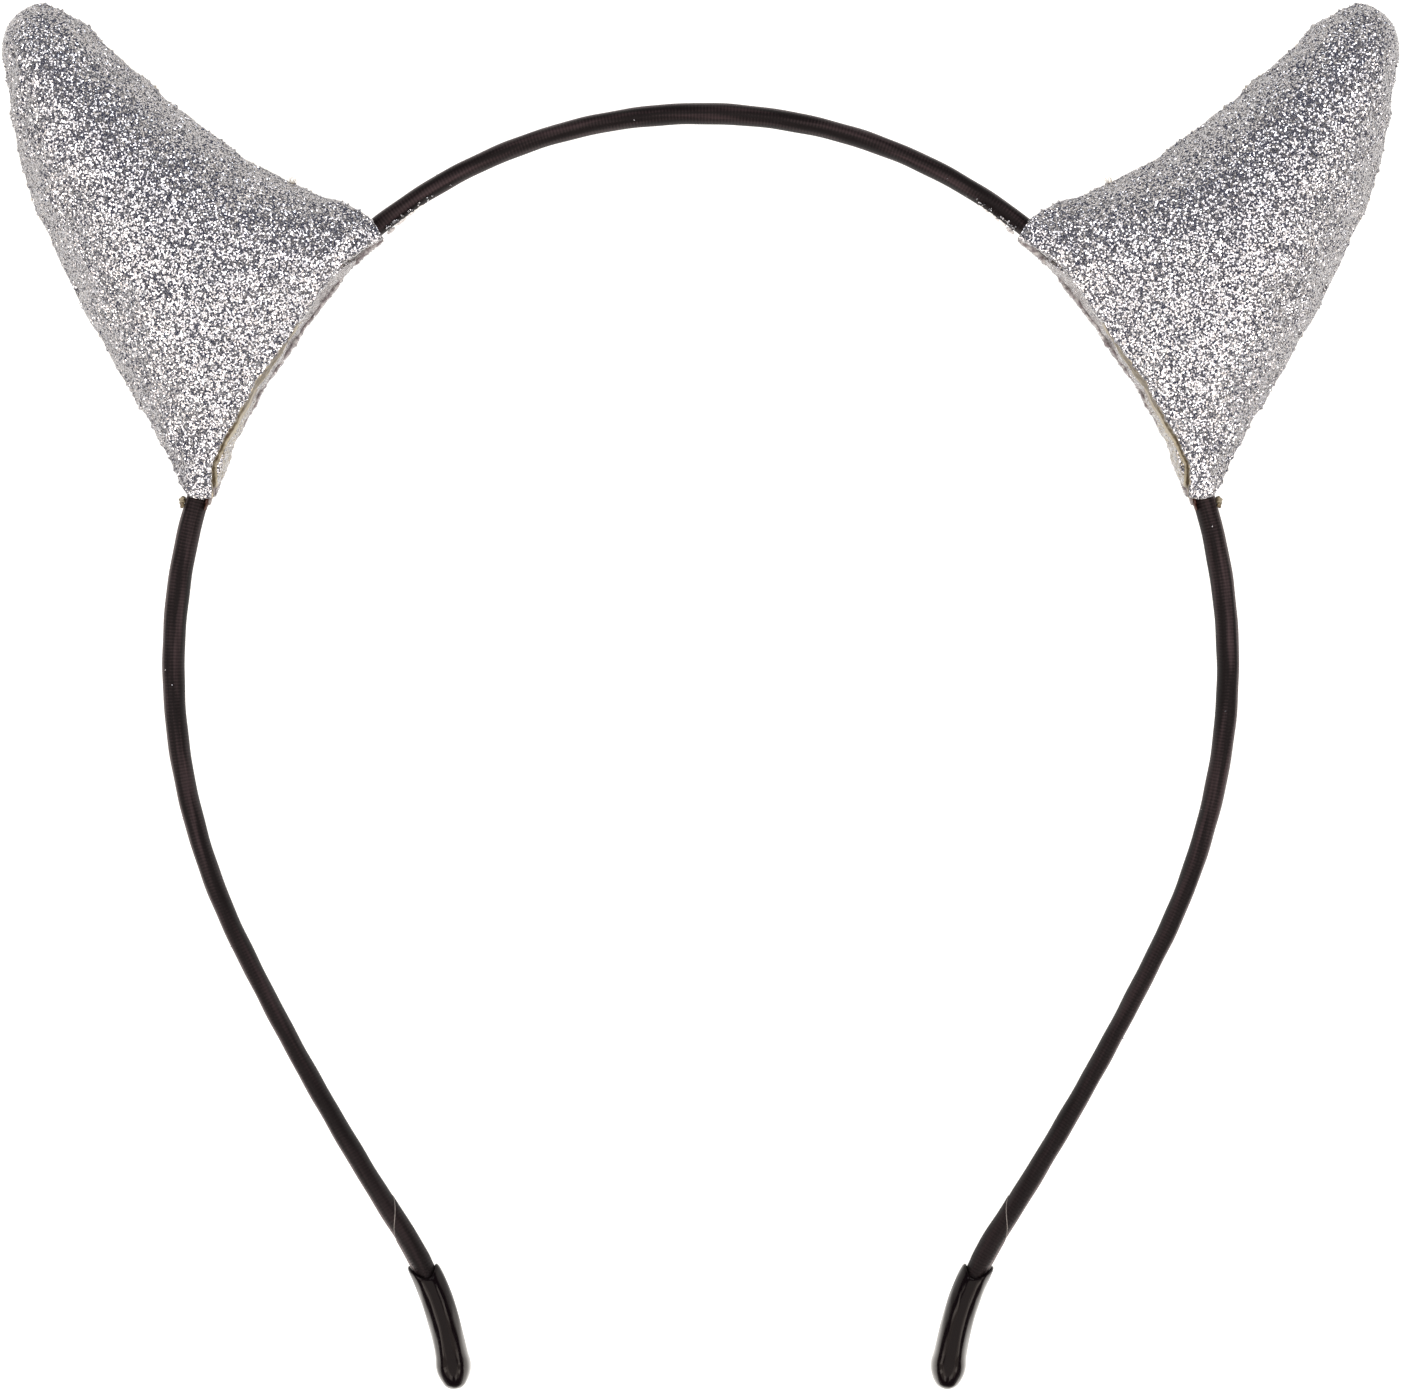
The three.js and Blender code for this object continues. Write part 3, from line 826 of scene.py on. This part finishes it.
# Glue line: an angled strip carried along the band, down its inner side from panel to panel and over
# its front; it thins to nothing at both ends and is lumpy from slow waves
glue = {
    "thick": 0.26,  # past the band, and more where the back panel hangs lower
    "thin": 0.12,  # never less than this
    "offBand": 0.1,
    "offCloth": 0.1,
    "lap": 1.15,  # how far it reaches over the front of the band
    "towardCrown": 13.4,  # millimetres along the band from the horn's middle
    "towardEnd": 20.4,
    "blunt": 12,  # power of the share of its length by which it thins: the more, the blunter its ends
    "backShare": 0.97,  # how far it reaches to the back panel
    "flaked": 0.75,  # share of its wall that flakes cover
    "flakesAbove": 0.6,  # share of its length where they do all over, from the crown side
    "flakesPast": 0.62,  # past that, millimetres from the cloth's edge
    "lumps": 0.05,
    "lumpWaves": [(1.9, 1.3), (3.1, -0.9)],  # radians a millimetre, along the band and to the front
    "rounding": 8,  # times its corners are averaged with their neighbours
    "tone": (0.25, 0.55),  # at the crown end and at the low end
    "toneFrom": (0.5, 0.8),  # shares of its length between which it changes
    "shade": 0.8,  # tone of the painted shade beside the cloth's edge
    "shadeWidth": (0.46, 0.26),  # millimetres past that edge, seen from over the hoop, to no painted shade and to full
    "shadeFrom": (0.2, 0.45),  # shares of its length between which this starts
    "ledge": 0.06,  # how far its lap lies over the band
    "alongSteps": 220,
    "seed": 31,
}


def hornGlue(side):
    share = np.linspace(0, 1, glue["alongSteps"])[:, None]
    middle = band["arcs"][0][0] * seat
    distance = middle - glue["towardCrown"] + (glue["towardCrown"] + glue["towardEnd"]) * share
    thin = np.sqrt(np.clip(1 - np.abs(2 * share - 1) ** glue["blunt"], 0.0004, 1))
    deep = thin * hornSkin(1 - share, 0 * share, horn["cloth"] + glue["offCloth"])[..., 2]
    near = band["thickness"] / 2 + glue["offBand"] + 0 * share
    far = near + np.maximum(glue["thin"], glue["thick"] + baseReach("back", 1 - share)) * thin
    over = near - glue["lap"] * thin
    ledge = np.minimum(band["depth"] / 2 + glue["ledge"], deep - glue["offCloth"] * thin)
    back = -glue["backShare"] * deep
    # inward, front and the steps to the next corner
    corners = [(far, back, 24), (far, deep, 20), (over, deep, 3), (over, ledge, 5), (near, ledge, 5),
               (near, back, 3)]
    ring = []
    for (inward, front, steps), (nextInward, nextFront, _) in zip(corners, corners[1:] + corners[:1]):
        part = np.arange(steps) / steps
        ring.append(np.stack([inward + (nextInward - inward) * part,
                              front + (nextFront - front) * part], -1))
    ring = np.concatenate(ring, 1)
    for _ in range(glue["rounding"]):
        ring = (np.roll(ring, 1, 1) + 2 * ring + np.roll(ring, -1, 1)) / 4
    inward, front = ring[..., 0], ring[..., 1]
    lumps = sum(np.sin(along * distance + forward * front) for along, forward in glue["lumpWaves"])
    inward = inward + glue["lumps"] * lumps * thin * smoothStep(near, far, inward)
    points = besideBand(distance + 0 * inward, inward, front)
    # painted shade: the edge's shadow, darker for a little way past the front panel's edge, as seen from
    # over the middle of the hoop
    edge = hornSkin(1 - share, 0 * share, 0.0)
    hung = edge[..., :2] - baseReach("front", 1 - share)[..., None] * outward
    past = inward - (band["arcs"][0][0] - np.linalg.norm(hung, axis=-1))
    past = past + (edge[..., 2] - front) * band["arcs"][0][0] / photo["distance"]
    paintedShade = smoothStep(*glue["shadeWidth"], past) * smoothStep(*glue["shadeFrom"], share)
    tone = glue["tone"][0] + (glue["tone"][1] - glue["tone"][0]) * smoothStep(*glue["toneFrom"], share)
    tone = tone + (glue["shade"] - tone) * paintedShade
    faces = shellFaces(*points.shape[:2])
    random = np.random.default_rng(glue["seed"])
    onFaces = np.stack(np.broadcast_arrays(share, past, paintedShade)).reshape(3, -1)[:, faces]
    faceShare, facePast, facePaintedShade = onFaces.mean(-1)
    dusty = (faceShare < glue["flakesAbove"]) | (facePast > glue["flakesPast"])
    flaked = (random.random(len(faces)) < glue["flaked"]) & dusty & (facePaintedShade < 0.5)
    piece = quadPiece(f"glue_line_{side}", laySide(points, side), faces, [glueLook, glitterLook],
                      slots=flaked, attributes={"tone": tone})
    return finishPiece(piece, "dried_glue", f"horn_{side}_glue")


# Glue drops squeezed out at the horn's corners: balls stretched to size, roughened by waves
drops = {
    # along the band, inward, front, half sizes along, inward and front, tone
    "rows": [
        (83.0, -1.6, 0.5, 0.5, 0.45, 0.8, 0.7),
        (83.6, -1.4, 1.3, 0.35, 0.25, 0.4, 0.85),
        (81.5, 1.5, 0.3, 1.2, 0.3, 1.2, 0.3),
        (82.6, 1.35, 0.9, 0.9, 0.2, 0.7, 1.0),
        (48.8, 1.1, 4.3, 0.6, 0.2, 0.35, 0.95),
        (41.2, 1.5, 0.6, 0.6, 0.22, 0.7, 0.12),
        (39.6, 1.4, 0.9, 0.8, 0.16, 0.5, 0.05),
        (38.2, 1.35, 1.0, 0.8, 0.12, 0.4, 0.0),
        (36.8, 1.3, 1.1, 0.8, 0.09, 0.3, 0.0),
    ],
    "steps": 18,
    "pole": 0.03,  # radians from each end to the first ring, which is zipped shut
    "roughness": 0.22,
}


def glueDrops(side):
    place, inward, front, long, thick, deep, tone = np.array(drops["rows"]).T[..., None, None]
    turn = np.linspace(drops["pole"], np.pi - drops["pole"], drops["steps"])[None, :, None]
    angle = np.linspace(0, 2 * np.pi, drops["steps"], endpoint=False)[None, None, :]
    wave = np.sin(3 * angle + 7 * place) * np.sin(2 * turn + 3 * place) + np.sin(5 * turn + 2 * angle)
    size = 1 + drops["roughness"] * wave * np.sin(turn)
    points = besideBand(place + long * size * np.cos(turn) + 0 * angle,
                        inward + thick * size * np.sin(turn) * np.cos(angle),
                        front + deep * size * np.sin(turn) * np.sin(angle))
    count, rows, columns = points.shape[:3]
    faces = manyFaces(count, shellFaces(rows, columns), rows * columns)
    piece = quadPiece(f"glue_drops_{side}", laySide(points, side), faces, [glueLook],
                      attributes={"tone": tone + 0 * points[..., 0]})
    return finishPiece(piece, "dried_glue")


# Stray flakes: hexagons of film that came off the cloth and stuck to the band, most of them on the
# inner edge beside the horn's upper corner; each is a thin prism turned by two small random slopes
stray = {
    "beside": 60,
    "besideFrom": 34.5,
    "besideTo": 41.5,
    "scattered": 12,
    "across": 0.13,  # half a flake's width
    "scatteredAcross": 0.08,
    "thick": 0.015,
    "above": 0.05,
    "slope": 0.35,
    "sizes": (0.7, 1.25),  # smallest and largest share of that width
    "besideLean": (0.1, 0.9),  # radians round the band, from its inner side to its front
    "clear": 3.0,  # scattered ones stay this far from the glue
    "seeds": {"left": 21, "right": 22},
}


def strayFlakes(side):
    random = np.random.default_rng(stray["seeds"][side])
    near = random.triangular(stray["besideFrom"], stray["besideTo"], stray["besideTo"], stray["beside"])
    far = random.uniform(0, tipMouth, stray["scattered"])
    place = np.concatenate([near, far])[:, None]
    lean = np.concatenate([random.uniform(*stray["besideLean"], stray["beside"]),
                           random.uniform(0, np.pi, stray["scattered"])])[:, None]
    clear = np.abs(place - band["arcs"][0][0] * seat)
    keep = (clear > glue["towardEnd"] + stray["clear"])[:, 0] | (np.arange(len(place)) < stray["beside"])
    place, lean = place[keep], lean[keep]
    count = len(place)
    corner = np.arange(6)[None, :] * np.pi / 3 + random.uniform(0, np.pi, count)[:, None]
    across = np.where(np.arange(count) < stray["beside"], stray["across"], stray["scatteredAcross"])
    size = (across * random.uniform(*stray["sizes"], count))[:, None]
    flat = size * np.cos(corner)
    wide = size * np.sin(corner)
    slope = random.uniform(-stray["slope"], stray["slope"], (2, count, 1))
    rise = stray["above"] + size * stray["slope"] + flat * slope[0] + wide * slope[1]
    rise = np.concatenate([rise - stray["thick"], rise + stray["thick"]], 1)
    flat, wide = np.tile(flat, 2), np.tile(wide, 2)
    inward = (band["thickness"] / 2 + rise) * np.cos(lean) - wide * np.sin(lean)
    front = (band["depth"] / 2 + rise) * np.sin(lean) + wide * np.cos(lean)
    points = besideBand(place + flat, inward, front)
    faces = manyFaces(count, shellFaces(2, 6), 12)
    piece = quadPiece(f"stray_flakes_{side}", laySide(points, side), faces, [glitterLook])
    return finishPiece(piece, "glitter_cloth")


# Tuft: a few fibres of the backing that came through the seam; each is a thin tapered tube along a
# parabola that starts on the seam and falls over to its own side
tuft = {
    "up": 0.39,  # share of the horn's sections where it stands, on the crown side
    "fibres": 16,
    "length": 1.1,
    "radius": 0.045,
    "spread": 0.55,
    "shortest": 0.4,  # share of the length
    "taper": 0.8,
    "rooted": 0.2,  # how far inside the seam it starts
    "steps": 7,
    "sides": 6,
    "seed": 41,
}


def seamTuft(side):
    random = np.random.default_rng(tuft["seed"])
    seam = hornSkin(np.array([1.0, 1.0]), np.array([tuft["up"], tuft["up"] + 0.01]), 0.0)
    alongSeam = (seam[1] - seam[0]) / np.linalg.norm(seam[1] - seam[0])
    away = np.array([alongSeam[1], -alongSeam[0], 0.0])
    away = away * np.sign(away @ np.append(alongBand, 0.0))
    upright = np.array([0.0, 0.0, 1.0])
    count = tuft["fibres"]
    lean = random.normal(0, tuft["spread"], (2, count, 1, 1, 1))
    foot = random.normal(0, tuft["spread"] / 3, (count, 1, 1, 1))
    length = tuft["length"] * random.uniform(tuft["shortest"], 1.0, (count, 1, 1, 1))
    share = np.linspace(0, 1, tuft["steps"])[None, :, None, None]
    angle = np.linspace(0, 2 * np.pi, tuft["sides"], endpoint=False)[None, None, :, None]
    radius = tuft["radius"] * (1 - tuft["taper"] * share)
    line = seam[0] - tuft["rooted"] * away + foot * alongSeam + length * (
        share * away + share ** 2 * (lean[0] * alongSeam + lean[1] * upright))
    points = line + radius * (np.cos(angle) * alongSeam + np.sin(angle) * upright)
    faces = manyFaces(count, shellFaces(tuft["steps"], tuft["sides"]), tuft["steps"] * tuft["sides"])
    piece = quadPiece(f"seam_tuft_{side}", laySide(points, side), faces, [backingLook])
    return finishPiece(piece, "glitter_cloth")


ribbonBand()
moves = stuffedMoves()
for side in ("left", "right"):
    dippedTip(side)
    filling = hornWadding(side)
    hornGlue(side)
    glueDrops(side)
    strayFlakes(side)
    seamTuft(side)
    for face in ("front", "back"):
        panel = hornPanel(side, face, moves[face])

# White light table, brightest in a strip under the hoop's open end, under a studio that is dim overhead
# and bright low down; a large soft box overhead toward the open end, a warm wing on each side of it and
# two sets of small lamps round them, which the flakes flash
stage = {
    "table": "#8c8c8c",
    "tableHalf": 3.0,
    "glow": 0.96,
    "hotGlow": 8.0,  # in a strip under the tips
    "hotMiddle": -0.084,  # metres toward the crown
    "hotHalf": (0.0075, 0.0145),  # half the strip's width, where it is full and where it ends
    "glowTint": "#fffcf7",
    "overhead": "#3d4461",
    "low": "#929297",
    "lowBelow": (0.14, 0.03),  # height of the sky where the bright part starts and where it is full
    "reach": 0.8,  # metres from the hoop's middle to each lamp
    # degrees round from +X, degrees down from overhead, width, height, brightness, tint
    "lamps": [
        ([270], 13, 1.25, 1.1, 2.25, "#fffbf8"),
        ([205, 335], 50, 0.9, 0.4, 2.4, "#fff6ec"),
        ([10, 170, 210, 250, 290, 330], 55, 0.2, 0.2, 6.6, "#fffbf8"),
        ([50, 90, 130], 52, 0.16, 0.16, 7.5, "#f6faff"),
    ],
}
tableMesh = bpy.data.meshes.new("table")
half = stage["tableHalf"]
tableMesh.from_pydata([(-half, -half, 0), (half, -half, 0), (half, half, 0), (-half, half, 0)], [],
                      [(0, 1, 2, 3)])
table = bpy.data.objects.new("table", tableMesh)
scene.collection.objects.link(table)
tableLook, tree = newMaterial("white acrylic light table")
place = addNode(tree, "TexCoord").outputs["Object"]
toCrown = addNode(tree, "SeparateXYZ", {"Vector": place}).outputs["Y"]
fromStrip = addNode(tree, "Math", {0: toCrown, 1: stage["hotMiddle"]}, operation="SUBTRACT")
offStrip = addNode(tree, "Math", {0: fromStrip}, operation="ABSOLUTE")
glow = addNode(tree, "MapRange",
               {"Value": offStrip, "From Min": stage["hotHalf"][0], "From Max": stage["hotHalf"][1],
                "To Min": stage["hotGlow"], "To Max": stage["glow"]}, interpolation_type="SMOOTHSTEP")
bsdf = addNode(tree, "BsdfPrincipled",
               {"Base Color": stage["table"], "Roughness": 0.8, "Specular IOR Level": 0.1,
                "Emission Color": stage["glowTint"], "Emission Strength": glow})
addNode(tree, "OutputMaterial", {"Surface": bsdf})
tableMesh.materials.append(tableLook)

world = bpy.data.worlds.new("white studio")
world.use_nodes = True
tree = world.node_tree
tree.nodes.clear()
skyward = addNode(tree, "TexCoord").outputs["Generated"]
height = addNode(tree, "SeparateXYZ", {"Vector": skyward}).outputs["Z"]
lowness = addNode(tree, "MapRange",
                  {"Value": height, "From Min": stage["lowBelow"][0], "From Max": stage["lowBelow"][1]},
                  interpolation_type="SMOOTHSTEP")
sky = addNode(tree, "Mix", {"Factor": lowness, "A": stage["overhead"], "B": stage["low"]}, data_type="RGBA")
background = addNode(tree, "Background", {"Color": sky.outputs["Result"]})
addNode(tree, "OutputWorld", {"Surface": background})
scene.world = world

for places, down, width, high, brightness, tint in stage["lamps"]:
    for around in places:
        data = bpy.data.lights.new(f"lamp{down}_{around}", "AREA")
        data.shape = "RECTANGLE"
        data.size = width
        data.size_y = high
        data.energy = brightness * math.pi * width * high  # an even box of this brightness
        data.color = hexColour(tint)[:3]
        lamp = bpy.data.objects.new(data.name, data)
        turn, drop = math.radians(around), math.radians(down)
        way = Vector((math.sin(drop) * math.cos(turn), math.sin(drop) * math.sin(turn), math.cos(drop)))
        lamp.location = way * stage["reach"]
        lamp.rotation_euler = way.to_track_quat("Z", "Y").to_euler()
        lamp.visible_camera = False
        scene.collection.objects.link(lamp)
scene.view_settings.view_transform = "Standard"
print("stage and light set")
